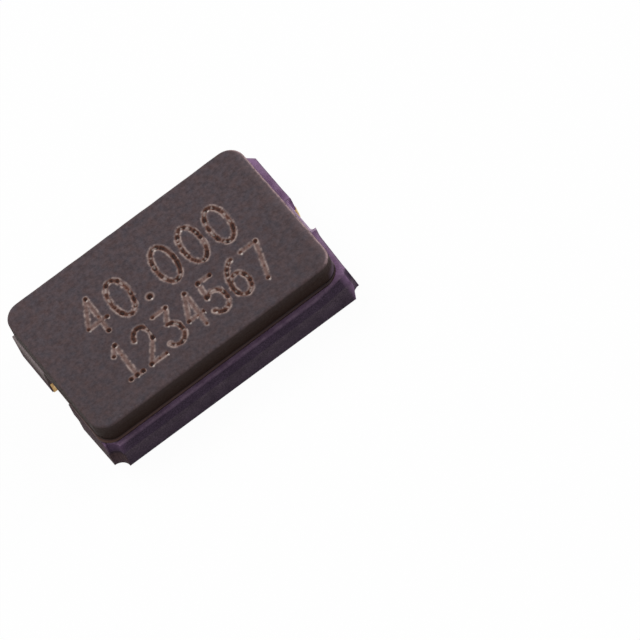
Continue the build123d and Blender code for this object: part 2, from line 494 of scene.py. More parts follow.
def roundedRectangle(half, radius, middle, perCorner):
    # Four quarter arcs round the corners' centres, from the lower right one on
    angle = np.radians(np.linspace(-90, 0, perCorner))
    arc = radius * np.stack([np.cos(angle), np.sin(angle)], axis=1)
    core = np.array(half) - radius
    turned = arc[:, ::-1] * (-1, 1)  # the same arc a quarter turn on
    corners = [core * (1, -1) + arc, core + turned, core * (-1, 1) - arc, -core - turned]
    return np.concatenate(corners) + np.array(middle)


def makePiece(name, points, faces, masks, material, sharpAngle):
    mesh = bpy.data.meshes.new(name)
    mesh.from_pydata((points * mm).tolist(), [], faces)
    for maskName, values in masks.items():
        layer = mesh.attributes.new(maskName, "FLOAT", "POINT")
        layer.data.foreach_set("value", np.ascontiguousarray(values, dtype=np.float32))
    mesh.materials.append(material)
    mesh.shade_smooth()
    mesh.set_sharp_from_angle(angle=math.radians(sharpAngle))
    piece = bpy.data.objects.new(name, mesh)
    bpy.context.scene.collection.objects.link(piece)
    print(name, "has", len(points), "points and", len(faces), "faces")
    return piece


# Laser marking on the lid: plain digits drawn with single strokes

digitStrokes = {  # in a box from 0 to 1: lines by their ends, arcs by centre, half axes and angles
    "0": [("arc", 0.5, 0.5, 0.5, 0.5, 95, 455)],
    "1": [("line", 0.12, 0.76, 0.52, 1.0), ("line", 0.52, 1.0, 0.52, 0.0), ("line", 0.12, 0.0, 0.92, 0.0)],
    "2": [("arc", 0.5, 0.72, 0.5, 0.28, 170, -35),
          ("line", 0.91, 0.56, 0.0, 0.0), ("line", 0.0, 0.0, 1.0, 0.0)],
    "3": [("line", 0.05, 1.0, 0.92, 1.0), ("line", 0.92, 1.0, 0.45, 0.6),
          ("arc", 0.45, 0.3, 0.55, 0.3, 90, -150)],
    "4": [("line", 0.7, 1.0, 0.0, 0.32), ("line", 0.0, 0.32, 1.0, 0.32), ("line", 0.7, 1.0, 0.7, 0.0)],
    "5": [("line", 0.9, 1.0, 0.12, 1.0), ("line", 0.12, 1.0, 0.06, 0.55),
          ("arc", 0.45, 0.31, 0.54, 0.31, 135, -150)],
    "6": [("arc", 0.95, 0.31, 0.95, 0.69, 100, 180), ("arc", 0.5, 0.31, 0.5, 0.31, 180, 540)],
    "7": [("line", 0.0, 1.0, 1.0, 1.0), ("line", 1.0, 1.0, 0.35, 0.0)],
}

marking = dict(
    seed=11,
    lines=[  # places from the middle of the lid
        dict(text="40.000", left=-1.4425, foot=-0.005, height=0.775, width=0.37, pitch=0.55,
             dotPitch=0.37, dotShift=0.03),
        dict(text="1234567", left=-1.4625, foot=-1.045, height=0.735, width=0.31, pitch=0.455),
    ],
    lean=0.04,  # how far a stroke's top leans, per height
    strokeStep=0.006, wobble=0.003,
    lineRim=0.039, curveRim=0.048, dotRim=0.076,  # from the stroke's middle to its rims
    rimWidth=0.016, rimHeight=0.006, floorDepth=0.004,
    rimLevel=0.52, rimSpread=0.4, rimRun=10,  # brightness of the rims, its spread, steps that share it
    rimRange=(0.1, 1.1), rimReach=2.5,  # its limits, and how far out a stroke is worked out
    pitRadius=0.042, dotRadius=0.058, pitDepth=0.028, shallowest=0.4,
    dwell=0.026,  # length over which the beam starts and stops
    roughness=0.036,  # length of one burnt spot along a curve
    lineBurn=(0.8, 1.05), lineRough=0.17, lineMost=1.1,  # burn at the ends of a line, its noise, its limit
    curveBurn=0.56, curveRough=0.26,  # burn along a curve, and its noise
    beadRadius=0.026, beadHeight=0.005, beadStep=0.09,
    endBead=0.8, curveBead=0.3,  # strongest bead at the ends, and beads on curves
    beadSide=(0.1, -1.15),  # bead and its painted glint sit on this side of a pit, the side that faces the back lamp, in shares of its radius
    rimBias=0.35,  # how much paler the rims are on that side and darker on the other: painted light and shade
)


def strokePoints(stroke, box, m):
    # A line is even steps between its ends, an arc is its centre plus half axes times cosine and sine
    size = np.array([box["width"], box["height"]])
    if stroke[0] == "line":
        ends = np.array(stroke[1:]).reshape(2, 2)
        count = math.ceil(np.linalg.norm((ends[1] - ends[0]) * size) / m["strokeStep"])
        unit = np.linspace(ends[0], ends[1], count + 1)
    else:
        centre, axes = np.array(stroke[1:3]), np.array(stroke[3:5])
        sweep = np.radians(stroke[6] - stroke[5])
        count = math.ceil(abs(sweep) * np.mean(axes * size) / m["strokeStep"])
        angle = np.radians(np.linspace(stroke[5], stroke[6], count + 1))
        unit = centre + axes * np.stack([np.cos(angle), np.sin(angle)], axis=1)
    x = box["left"] + unit[:, 0] * box["width"] + m["lean"] * unit[:, 1] * box["height"]
    return np.column_stack([x, box["foot"] + unit[:, 1] * box["height"]])


def smoothNoise(random, count, reach):
    # Random values of unit spread, averaged over their neighbours within reach
    return np.convolve(random.normal(size=count + reach - 1), np.ones(reach), "valid") / math.sqrt(reach)


def burnStroke(path, straight, random, m):
    # How deeply the beam burnt at each point, from 0 to 1. It dwells at the ends of a straight stroke,
    # where the burn falls off as a bell curve, and it stutters along a curve.
    along = np.arange(len(path)) * m["strokeStep"]
    rough = smoothNoise(random, len(path), round(m["roughness"] / m["strokeStep"]))
    if straight:
        ends = bell(along, m["dwell"]) + bell(along[-1] - along, m["dwell"])
        return np.clip(ends * random.uniform(*m["lineBurn"]) + m["lineRough"] * rough, 0, m["lineMost"])
    return np.clip(m["curveBurn"] + m["curveRough"] * rough, 0, 1)


def drawCharacter(character, box, random, m):
    # Points along the strokes as (x, y, distance of the rims), their direction, pits as (x, y, radius),
    # and beads of melt with a painted glint as (x, y, strength)
    paths, directions, pits, beads = [], [], [], []
    for stroke in digitStrokes[character]:
        path = strokePoints(stroke, box, m)
        direction = np.gradient(path, axis=0)
        direction /= np.linalg.norm(direction, axis=1, keepdims=True)
        path += random.normal(0, m["wobble"], path.shape)
        burn = burnStroke(path, stroke[0] == "line", random, m)
        deep = burn > m["shallowest"]
        pits.append(np.column_stack([path, m["pitRadius"] * burn])[deep])
        thrown = path[[0, -1]] + m["pitRadius"] * np.array(m["beadSide"])
        beads.append(np.column_stack([thrown, random.uniform(0, m["endBead"], 2)]))
        if stroke[0] == "arc":
            some = random.permutation(path[~deep])[: round(len(path) * m["strokeStep"] / m["beadStep"])]
            beads.append(np.column_stack([some, np.full(len(some), m["curveBead"])]))
        rims = m["lineRim"] if stroke[0] == "line" else m["curveRim"]
        paths.append(np.column_stack([path, np.full(len(path), rims)]))
        directions.append(direction)
    return tuple(np.concatenate(parts) for parts in (paths, directions, pits, beads))


def drawDot(box, m):
    centre = np.array([box["left"] + box["dotShift"], box["foot"] + m["dotRadius"]])
    bead = centre + m["dotRadius"] * np.array(m["beadSide"])
    rows = (*centre, m["dotRim"]), (1.0, 0.0), (*centre, m["dotRadius"]), (*bead, 1.0)
    return tuple(np.array([row]) for row in rows)


def layOutMarking(m):
    random = np.random.default_rng(m["seed"])
    for line in m["lines"]:
        left = line["left"]
        for character in line["text"]:
            box = dict(line, left=left)
            if character == ".":
                yield drawDot(box, m)
                left += line["dotPitch"]
            else:
                yield drawCharacter(character, box, random, m)
                left += line["pitch"]


def engrave(x, y, m):
    # Height and masks at each grid point, from its distance to the nearest stroke, pit and bead. A stroke is
    # a shallow floor between two uneven rims shaped as bell curves, a pit is a round bowl and a bead a dome.
    random = np.random.default_rng(m["seed"] + 1)
    relief, rim, groove, pit, bead = (np.zeros(len(x)) for _ in range(5))
    for strokes, direction, pits, beads in layOutMarking(m):
        path, margin = strokes[:, :2], m["rimReach"] * strokes[:, 2].max()
        low, high = path.min(axis=0) - margin, path.max(axis=0) + margin
        near = np.nonzero((x > low[0]) & (x < high[0]) & (y > low[1]) & (y < high[1]))[0]
        spot = np.column_stack([x[near], y[near]])
        distance = np.linalg.norm(spot[:, None] - path, axis=2)
        closest = np.argmin(distance, axis=1)
        away = distance[np.arange(len(near)), closest]
        aside, rimPlace = spot - path[closest], strokes[closest, 2]
        leftHand = direction[closest, 0] * aside[:, 1] > direction[closest, 1] * aside[:, 0]
        noise = np.stack([smoothNoise(random, len(path), m["rimRun"]) for _ in range(2)])
        bright = (m["rimLevel"] + m["rimSpread"] * noise)[leftHand * 1, closest]
        # painted light and shade: rims paler on the lamp's side, darker on the other
        bright *= 1 - m["rimBias"] * np.clip(aside[:, 1] / rimPlace, -1, 1)
        ridge = bell(away - rimPlace, m["rimWidth"]) * np.clip(bright, *m["rimRange"])
        floor = ramp(rimPlace - away, 0, m["rimWidth"])
        fromPit = np.linalg.norm(spot[:, None] - pits[:, :2], axis=2) / pits[:, 2]
        bowl = np.max(np.clip(1 - fromPit ** 2, 0, 1) * pits[:, 2] / m["pitRadius"], axis=1)
        fromBead = np.linalg.norm(spot[:, None] - beads[:, :2], axis=2) / m["beadRadius"]
        dome = np.max(np.clip(1 - fromBead ** 2, 0, 1) * beads[:, 2], axis=1)
        raisedPart = m["rimHeight"] * ridge - m["floorDepth"] * floor
        relief[near] = raisedPart - m["pitDepth"] * bowl + m["beadHeight"] * dome
        rim[near] = np.clip(ridge, 0, 1)
        groove[near] = floor
        pit[near] = np.clip(bowl, 0, 1)
        bead[near] = dome
    return relief, dict(rim=rim, groove=groove, pit=pit, bead=bead)


# Lid: a grid over the flat top, its outer loop carried down the rounded edge and the side

lid = dict(
    fineStep=0.0108, coarseStep=0.07, cornerSteps=14,
    markLeft=-1.62, markRight=1.70, markTop=0.92,
    edgeRadius=0.052, edgeSteps=6, footBevel=0.008, sharpAngle=60,
    wave=0.004,  # unevenness of the pressed outline
    waveTurns=((9, 0.7), (23, 0.0), (41, 2.1)),  # waves round the outline, and their phases
    turn=0.004, shift=(-0.006, 0.004),  # radians and mm by which it sits off its place
    highlightPower=1.5,  # moves the strongest painted highlight from half the rounded edge's height towards the top
    highlightAll=0.1,  # share of the painted edge highlight away from the right end
    highlightEnd=(0.3, 0.5),  # outward x from which the right end's share of the painted highlight grows, and over how much
    sideFade=(0.8, 1.1),  # painted side shade at the foot of the rounded edge, and how fast it ends
    filmEnd=(0.25, 0.4), filmFront=(-0.15, 0.3),  # outward x and minus y over which the film sets in
    filmFoot=1.15, filmLoss=2.2,  # its strength at the foot, and its loss up the side
    dusk=0.14,  # painted shade: how much darker the top gets towards the front
    duskMiddle=0.3, duskFront=0.9, duskLeft=0.2,  # share of it in the middle, gain to the front and left
    litBrim=0.11, litBrimShare=0.13,  # painted highlight as a paler band on the top along the right edge: width and strength
)


def makeLid(d):
    core = lidHalf - lidCorner
    flatRadius = lidCorner - d["edgeRadius"]
    flatHalf = lidHalf - d["edgeRadius"]
    # Rows follow the corner arcs by angle and run straight between them. A row's points are spread over
    # its own half length, so the outer columns trace the rounded corners.
    turn = np.radians(np.linspace(90, 0, d["cornerSteps"] + 1))[:-1]
    straight = stations([-core[1], d["markTop"], core[1]], [d["fineStep"], d["coarseStep"]])
    lowRows = -core[1] - flatRadius * np.sin(turn)
    rows = np.concatenate([lowRows, straight, -lowRows[::-1]])
    bent = core[0] + flatRadius * np.cos(turn)
    reach = np.concatenate([bent, np.full(len(straight), flatHalf[0]), bent[::-1]])
    columns = stations(
        [-flatHalf[0], d["markLeft"], d["markRight"], flatHalf[0]],
        [d["coarseStep"], d["fineStep"], d["coarseStep"]],
    ) / flatHalf[0]
    x = (reach[:, None] * columns[None, :]).ravel()
    y = np.repeat(rows, len(columns))
    relief, marks = engrave(x, y, marking)
    top = np.column_stack([x, y, lidHigh[2] + relief])
    number = np.arange(len(x)).reshape(len(rows), len(columns))
    corners = [number[:-1, :-1], number[:-1, 1:], number[1:, 1:], number[1:, :-1]]
    topFaces = np.stack(corners, axis=-1).reshape(-1, 4)
    border = np.concatenate([number[0], number[1:, -1], number[-1, -2::-1], number[-2:0:-1, 0]])
    # Loops below the border: out along the border's normals by the radius times cosine, down by sine
    edge = top[border, :2]
    outward = edge - np.clip(edge, -core, core)
    outward /= np.linalg.norm(outward, axis=1, keepdims=True)
    around = np.arctan2(edge[:, 1] / lidHalf[1], edge[:, 0] / lidHalf[0])
    swing = sum(np.sin(turns * around + phase) for turns, phase in d["waveTurns"])
    wave = d["wave"] * swing / len(d["waveTurns"]) + d["wave"]
    radius, height = d["edgeRadius"], lidHigh[2]
    angle = np.radians(np.linspace(0, 90, d["edgeSteps"] + 1))[:-1]
    out = np.concatenate([[radius - d["footBevel"], radius, radius], radius * np.cos(angle)])
    level = np.concatenate([
        [lidLow[2], lidLow[2] + d["footBevel"], (lidLow[2] + height) / 2],
        height - radius + radius * np.sin(angle),
    ])
    shift = out[:, None] + wave * (out / radius)[:, None]
    loops = edge[None] + outward[None] * shift[:, :, None]
    skirt = np.concatenate([loops, np.broadcast_to(level[:, None, None], (*shift.shape, 1))], axis=2)
    numbers = len(x) + numberLoops(skirt)
    faces = topFaces.tolist() + ringFaces(np.vstack([numbers, border])).tolist()
    faces.append(numbers[0, ::-1].tolist())
    points = np.concatenate([top, skirt.reshape(-1, 3)])
    points[:, :2] += points[:, 1::-1] * (-d["turn"], d["turn"]) + np.array(d["shift"])
    points[:, :2] += lidMiddle
    none = np.zeros(numbers.size)
    below = len(out) - len(angle)  # loops below the rounded edge
    # The edge mask is a painted highlight on the rounded edge, mostly at the right end, and on the top
    # beside it
    arch = np.sin(np.pi * np.sin(angle) ** d["highlightPower"])
    highlit = d["highlightAll"] + (1 - d["highlightAll"]) * ramp(outward[:, 0], *d["highlightEnd"])
    onEdge = (np.pad(arch, (below, 0))[:, None] * highlit[None, :]).ravel()
    fade = d["sideFade"][0] * (1 - np.clip(np.sin(angle) * d["sideFade"][1], 0, 1))
    onSide = np.repeat(np.concatenate([np.ones(below), fade]), len(border))
    sideHeight = np.repeat((level - lidLow[2]) / (height - lidLow[2]), len(border))
    atCorner = ramp(outward[:, 0], *d["filmEnd"]) * ramp(-outward[:, 1], *d["filmFront"])
    film = np.tile(atCorner, len(out)) * np.clip(d["filmFoot"] - d["filmLoss"] * sideHeight, 0, 1)
    flat = np.zeros(len(x))
    litBrim = d["litBrimShare"] * ramp(x, flatHalf[0] - d["litBrim"], d["litBrim"])
    towards = d["duskFront"] * y / lidHalf[1] + d["duskLeft"] * x / lidHalf[0]
    dusk = d["dusk"] * np.clip(d["duskMiddle"] - towards, 0, 1)
    masks = {name: np.concatenate([values, none]) for name, values in marks.items()}
    masks.update(
        film=np.concatenate([flat, film]), side=np.concatenate([flat, onSide]),
        edge=np.concatenate([litBrim, onEdge]), height=np.concatenate([flat + 1, sideHeight]),
        dusk=np.concatenate([dusk, none]),
    )
    return makePiece("lidPressing", points, faces, masks, lidCeramic, d["sharpAngle"])


lidPressing = makeLid(lid)
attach(lidPressing, "root")
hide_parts("ceramic_lid")


# Base: loops round the plan, from the underside up the walls, over the rim and down into the cavity

base = dict(
    notch=0.19, seam=0.03,  # radius of the corner notches, width of the film beside them
    slotWidth=0.96, slotDepth=0.26, slotCorner=0.12,  # plated slot in the pad layer
    neckWidth=0.84, neckDepth=0.11, neckCorner=0.05,  # bare neck in the frame layer
    filledNeck=0.08,  # depth left at the right end, where seal glass ran in
    neckFrom=2.3, neckMargin=0.01,  # x from which that neck counts, and y past its walls
    endWall=0.55, sideWall=0.50, cavityCorner=0.25, cavityStretch=1.03,
    rimRadius=0.02, wornRim=0.05, meltedRim=0.10,  # top edge: plain, at the wide ledges, at one notch
    wornEnd=(2.2, 0.2), wornBeside=(0.44, 0.1), wornFront=(1.3, 0.2),  # where wear sets in, over how much
    meltReach=1.6, meltBlur=0.5,  # reach of the melted edge in notch radii, and over how much it ends
    rimSteps=5, rimGrowth=0.4,  # how fast the rim's radius may grow away from a sharp corner
    sharpTurn=0.5,  # cosine below which a corner counts as sharp
    footRadius=0.012, footCut=0.3,
    layerStep=0.006,  # faint joint between the two layers
    bandTop=0.42, bandBlur=0.02,  # upper end of the paler band on the walls
    endRun=(2.0, 0.3),  # x from which an end has its own shape, and over how much that sets in
    leanRight=(0.029, 0.066), leanPlaces=(0.45, 1.35),  # right end's top set back, at these minus y
    leanBeside=(0.44, 0.06), flare=0.01,  # minus y where that sets in, and how far the foot flares
    leanFront=0.09, leanRun=(1.7, 0.67), frontRun=(1.2, 0.2),  # front wall's top set back, by x and minus y
    notchFill=(0, 0.6, 0.55), fillLevels=(0, 0.3, 1),  # glass in the front right notch, by share of height
    skewLeft=0.02, skewRun=(0.5, 0.9),  # left end's front corner set back, by minus y
    wallShift=0.08,  # left neck's front wall moved in
    narrowRight=0.09,  # right slot's back wall moved in
    wallBlur=0.1,  # reach of both moves
    floorSteps=6, cornerSteps=8, wallSteps=7, endSteps=8, notchSteps=12, sideSteps=16,
    sharpAngle=40,
)
nearNotch = 1.02  # share of the radius within which a point belongs to a notch


def baseQuarter(b, width, depth, corner):
    # Slot floor, its corner, side wall, end face, corner notch and long side, where x and y are positive
    x, y = baseHalf
    wide = b["slotWidth"] / 2
    wallStart, wallEnd = (x - depth + corner, width / 2), (x, width / 2)
    if width / 2 < wide:
        wall = np.concatenate([run(wallStart, wallEnd, b["wallSteps"] - 1), [wallEnd]])
    else:
        wall = run(wallStart, wallEnd, b["wallSteps"])
    return np.concatenate([
        run((x - depth, 0), (x - depth, width / 2 - corner), b["floorSteps"]),
        bow((x - depth + corner, width / 2 - corner), corner, 180, 90, b["cornerSteps"]),
        wall,
        run((x, wide), (x, y - b["notch"]), b["endSteps"]),
        bow((x, y), b["notch"], 270, 180, b["notchSteps"]),
        [(x - b["notch"], y)],
        run((x - b["notch"] - b["seam"], y), (0, y), b["sideSteps"]),
    ])


def baseOutline(b, width, rightDepth, leftDepth, corner):
    # The right quarter and the mirrored left one make a half, and the same turned by 180 degrees the other
    right, left = (baseQuarter(b, width, depth, corner) for depth in (rightDepth, leftDepth))
    middle = [(0, baseHalf[1])]
    back = np.concatenate([right, middle, left[:0:-1] * (-1, 1)])
    front = np.concatenate([left, middle, right[:0:-1] * (-1, 1)])
    return np.concatenate([back, -front])


def skewEnd(b, outline):
    # The left end is snapped back towards its front corner
    x, y = outline.T
    back = b["skewLeft"] * ramp(-y, *b["skewRun"]) * ramp(-x, *b["endRun"])
    return outline + np.column_stack([back, 0 * y])


def moveWall(b, outline, end, place, amount):
    # Moves the wall of a slot at one end along y, within a bell curve round the wall's place
    x, y = outline.T
    shift = amount * bell(y - place, b["wallBlur"]) * ramp(end * x, *b["endRun"])
    return outline + np.column_stack([0 * x, shift])


def fillNotch(b, outline, corner):
    # Glass fills a corner notch up to the straight line between its ends: the offset from the corner is
    # scaled until its two parts add up to the notch's radius
    offset = outline - corner
    inside = np.hypot(*offset.T) < nearNotch * b["notch"]
    total = np.maximum(np.abs(offset).sum(axis=1), b["notch"])
    return np.where(inside[:, None], corner + offset * (b["notch"] / total)[:, None], outline)


def leanWalls(b, points, filled):
    # Towards the front right corner both walls lean back in proportion to the height, and the end flares at
    # its foot. The glass in the notch is thicker towards the top.
    x, y, z = np.moveaxis(points, 2, 0).copy()
    share = (z - baseLow[2]) / (baseHigh[2] - baseLow[2])
    atEnd = ramp(-y, *b["leanBeside"]) * ramp(x, *b["endRun"])
    setBack = np.interp(-y, b["leanPlaces"], b["leanRight"]) * share - b["flare"] * (1 - share)
    atFront = ramp(-y, *b["frontRun"]) * ramp(x, *b["leanRun"])
    corner = baseHalf * (1, -1)
    fill = np.interp(share[:-2, filled], b["fillLevels"], b["notchFill"])
    points[:-2, filled, :2] += fill[..., None] * (corner - points[:-2, filled, :2])
    points[:, :, 0] -= atEnd * setBack
    points[:-2, :, 1] += (b["leanFront"] * atFront * share)[:-2]
    return points


# Shares of each film by loop: four up the pad layer, three up the frame layer, five over the rim, two inside
baseBands = dict(
    ledge=(0, 0, 0, 0, 0, 0, 0, 0, 0.3, 0.5, 0.8, 1, 1, 0),
    wall=(0, 1, 1, 1, 1, 1, 1, 1, 0.8, 0.5, 0, 0, 0, 0),
    curl=(0, 0, 0, 0, 0, 0, 0.12, 0.45, 0.9, 1, 1, 1, 1, 0),
    litRightNotch=(0, 0.9, 1, 0.86, 0.7, 0.62, 0.62, 0.76, 0.7, 0.4, 0, 0, 0, 0),
    leftNotch=(0.8, 0.8, 0.8, 0.9, 0.9, 0.6, 0, 0, 0, 0, 0, 0, 0, 0),
    shadeUnderGlass=(0, 0, 0, 0, 0.15, 0.75, 0, 0, 0, 0, 0, 0, 0, 0),
    neck=(0, 0, 0, 0, 1, 1, 1, 1, 1, 1, 1, 1, 1, 0),
    lip=(0, 0, 0, 0, 0, 0, 0, 0.1, 0.5, 1, 1, 1, 1, 0),
    smearAndSheen=(0, 0, 0, 0, 0.2, 0.3, 0.4, 0.7, 0.85, 1, 1, 1, 1, 0),
    # pad: the pad layer's paler tone, none at the foot, so the walls get darker towards the bottom
    pad=(0, 0, 0, 0.8, 0.8, 1, 0, 0, 0, 0, 0, 0, 0, 0),
    # edge: share of the worn and painted-highlight edge tone
    edge=(0, 0.4, 0.2, 0, 0, 0, 0, 0, 0.3, 0.9, 1.0, 0.5, 0, 0),
)
baseFilms = dict(
    most=0.9, least=0.33, endRun=(2.05, 0.3),  # film on the ledge: least along the sides, all at the ends
    wrapStart=1.4, wrapLoss=3.2, wrapLeast=0.1,  # painted highlight in the film tone that fades round the front right notch
    bareShare=0.35, bareReach=0.5,  # film missing at the front left corner
    glazePlaces=(-0.42, -0.2, 0.1, 0.3), glazeShares=(1, 0.6, 0.6, 0.1),  # along y in the right neck, for the film and its painted highlight
    leftFace=(2.44, 0.04), coatFrom=0.4,  # minus x of the left end's face, y from which it is coated
    brownShare=0.8, brownEdge=0.2,  # residue on that face in front of the slot, and its share of the worn and highlit edge
)


def coatBase(f, outline, inNotch, inNeck, melted):
    # Masks by loop and by place round the outline
    band = {name: np.array(shares)[:, None] for name, shares in baseBands.items()}
    x, y = outline.T
    inFront = y < 0
    # Sealing glass wets the ledge, most at the ends. The right notches get its tone as a painted highlight
    # where their walls face the side lamp, it runs into the right neck, and little of it is left at the
    # front left corner.
    ledge = band["ledge"] * (f["least"] + (1 - f["least"]) * ramp(np.abs(x), *f["endRun"]))
    wrap = np.clip(f["wrapStart"] - f["wrapLoss"] * (y + baseHalf[1]) / base["notch"], f["wrapLeast"], 1)
    ledge = np.maximum(ledge, band["litRightNotch"] * (inNotch & (x > 0)) * np.where(inFront, wrap, 1))
    ledge = np.maximum(ledge, f["most"] * np.maximum(band["curl"] * melted, band["neck"] * inNeck))
    brown = (x < -f["leftFace"][0]) & inFront & ~inNotch
    bare = f["bareShare"] * bell(np.hypot(*(outline + baseHalf).T), f["bareReach"])
    ledge = np.where(brown, 0, ledge) * (1 - bare)
    glazeAndHighlight = band["lip"] * inNeck * np.interp(y, f["glazePlaces"], f["glazeShares"])
    # On the left end it is thicker behind the slot and painted greyer as a sheen, over residue that lies in
    # the notches too
    leftEnd = ramp(-x, *f["leftFace"])
    smearAndSheen = np.where(y > f["coatFrom"], band["smearAndSheen"], 0) * leftEnd
    soot = np.maximum(band["leftNotch"] * (inNotch & (x < 0)), f["most"] * band["wall"] * leftEnd)
    soot = np.where(brown, f["brownShare"], soot)
    # Painted shade: the front left notch is darker under the glass that spans it
    creaseShade = band["shadeUnderGlass"] * (inNotch & (x < 0) & inFront)
    edge = band["edge"] * np.where(brown, f["brownEdge"], 1.0)
    pad = np.broadcast_to(band["pad"], edge.shape)
    masks = dict(ledge=ledge, smearAndSheen=smearAndSheen, glazeAndHighlight=glazeAndHighlight, soot=soot, creaseShade=creaseShade, pad=pad, edge=edge)
    return {name: values.ravel() for name, values in masks.items()}


def makeBase(b):
    lower = baseOutline(b, b["slotWidth"], b["slotDepth"], b["slotDepth"], b["slotCorner"])
    upper = baseOutline(b, b["neckWidth"], b["filledNeck"], b["neckDepth"], b["neckCorner"])
    inNotch = np.hypot(*(np.abs(upper) - baseHalf).T) < nearNotch * b["notch"]
    frontRight = inNotch & (upper[:, 0] > 0) & (upper[:, 1] < 0)
    inNeck = (upper[:, 0] > b["neckFrom"]) & (np.abs(upper[:, 1]) < b["neckWidth"] / 2 + b["neckMargin"])
    lower = moveWall(b, skewEnd(b, lower), 1, b["slotWidth"] / 2, -b["narrowRight"])
    upper = moveWall(b, skewEnd(b, upper), 1, b["neckWidth"] / 2, -b["narrowRight"])
    upper = moveWall(b, upper, -1, -b["neckWidth"] / 2, b["wallShift"])
    upper = fillNotch(b, upper, baseHalf)
    top = fillNotch(b, upper, -baseHalf)  # spans the lower part of the front left notch
    # The cavity's loop is the outer one drawn in to its core rectangle and pushed out by the corner radius
    core = baseHalf - (b["endWall"], b["sideWall"]) - b["cavityCorner"]
    drawn = np.clip(upper * (1, b["cavityStretch"]), -core, core)
    outward = upper - drawn
    cavity = drawn + b["cavityCorner"] * outward / np.linalg.norm(outward, axis=1, keepdims=True)
    foot, step, rim = baseLow[2], padHigh[2], baseHigh[2]
    cut = b["footCut"] * b["footRadius"]
    loops = [
        raised(inset(lower, b["footRadius"]), foot),
        raised(inset(lower, cut), foot + cut),
        raised(lower, foot + b["footRadius"]),
        raised(lower, step + 0.5 * b["layerStep"]),
        raised(upper, step + 1.5 * b["layerStep"]),
        raised(upper, b["bandTop"] - b["bandBlur"]),
        raised(top, b["bandTop"] + b["bandBlur"]),
    ]
    # The top edge is worn along the wide ledges, and melted round in the front left notch
    x, y = upper.T
    wornEnd = ramp(x, *b["wornEnd"]) * ramp(np.abs(y), *b["wornBeside"])
    worn = np.maximum(wornEnd, ramp(-y, *b["wornFront"]))
    melted = ramp(b["meltReach"] - np.hypot(*(top + baseHalf).T) / b["notch"], 0, b["meltBlur"])
    radius = b["rimRadius"] + (b["wornRim"] - b["rimRadius"]) * worn
    radius += (b["meltedRim"] - b["wornRim"]) * melted
    # It stays small next to sharp corners, so that neighbouring points keep their order
    along = np.roll(top, -1, axis=0) - top
    along /= np.linalg.norm(along, axis=1, keepdims=True)
    sharp = top[np.sum(along * np.roll(along, 1, axis=0), axis=1) < b["sharpTurn"]]
    reach = np.min(np.linalg.norm(top[:, None] - sharp, axis=2), axis=1)
    radius = np.minimum(radius, b["rimRadius"] + b["rimGrowth"] * reach)
    loops += [
        raised(inset(top, radius[:, None] * (1 - math.cos(a))), rim - radius * (1 - math.sin(a)))
        for a in np.radians(np.linspace(0, 90, b["rimSteps"]))
    ]
    loops += [raised(cavity, rim), raised(cavity, step)]
    points = leanWalls(b, np.stack(loops), frontRight)
    numbers = numberLoops(points)
    faces = ringFaces(numbers).tolist() + [numbers[0, ::-1].tolist(), numbers[-1].tolist()]
    masks = coatBase(baseFilms, upper, inNotch, inNeck, melted)
    return makePiece("baseBody", points.reshape(-1, 3), faces, masks, baseCeramic, b["sharpAngle"])


baseBody = makeBase(base)
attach(baseBody, "root")
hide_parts("ceramic_base")


# Seal: a closed profile carried round the lid's outline, swelling past the lid's foot

seal = dict(
    cavityGap=0.08, perCorner=24, steps=9, undercut=0.01, swell=0.014, sharpAngle=50,
    bulge=3.2, bulgeReach=0.32,  # more glass at the front left corner
    litGain=1.3, litLoss=0.2,  # how much of the bead's height is painted light
    crestReach=0.4, crestFrom=(0.3, 0.3),  # painted highlight on the crest there, and the share of height where it starts
    paleEnd=(2.28, 0.05), paleFront=(-1.3, 0.25),  # x and y over which the thin glass, painted pale as a highlight, sets in
    paleMiddle=0.62, paleLoss=0.36, paleLeast=0.25,  # its share in the middle, loss towards the back, least
)


def makeSeal(s):
    low, high = baseHigh[2], lidLow[2]
    inner = roundedRectangle(
        baseHalf - (base["endWall"], base["sideWall"]) + s["cavityGap"],
        base["cavityCorner"] + s["cavityGap"], (0, 0), s["perCorner"],
    )
    # Out by the undercut plus a half sine of the swell, from the ledge up to the lid's foot
    share = np.linspace(0, 1, s["steps"])
    out = s["undercut"] * (1 - share) + (s["swell"] - s["undercut"] / 2) * np.sin(np.pi * share)
    # More of it was pressed out at the front left corner, as a bell curve of the distance from there
    foot = roundedRectangle(lidHalf, lidCorner, lidMiddle, s["perCorner"])
    core = lidHalf - lidCorner
    outward = (foot - np.clip(foot, lidMiddle - core, lidMiddle + core)) / lidCorner
    corner = np.linalg.norm(foot - lidMiddle + lidHalf, axis=1)
    more = 1 + s["bulge"] * bell(corner, s["bulgeReach"])
    outer = [
        raised(foot + outward * (o * more)[:, None], low + (high - low) * t)
        for o, t in zip(out, share)
    ]
    points = np.stack([raised(inner, low), *outer, raised(inner, high)])
    numbers = numberLoops(points)
    faces = ringFaces(np.vstack([numbers, numbers[0]])).tolist()
    lit = np.pad(np.clip(np.sin(np.pi * share) * s["litGain"] - s["litLoss"], 0, 1), 1)[:, None]
    upperHalf = np.pad(ramp(share, *s["crestFrom"]), 1)[:, None]
    # It has a painted highlight on its crest at the front left corner, and along the right end it is thin
    # glass painted pale as a highlight
    nearCorner = bell(corner, s["crestReach"])
    x, y = points[:, :, 0], points[:, :, 1]
    paleAndLit = ramp(x, *s["paleEnd"]) * np.clip(s["paleMiddle"] - s["paleLoss"] * y, s["paleLeast"], 1)
    masks = dict(
        edge=lit * (1 - nearCorner * (1 - upperHalf)), litCrest=lit * upperHalf * nearCorner,
        paleAndLit=paleAndLit * ramp(y, *s["paleFront"]),
    )
    masks = {name: values.ravel() for name, values in masks.items()}
    return makePiece("sealBead", points.reshape(-1, 3), faces, masks, sealGlass, s["sharpAngle"])


sealBead = makeSeal(seal)
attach(sealBead, "root")
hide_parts("glass_seal")


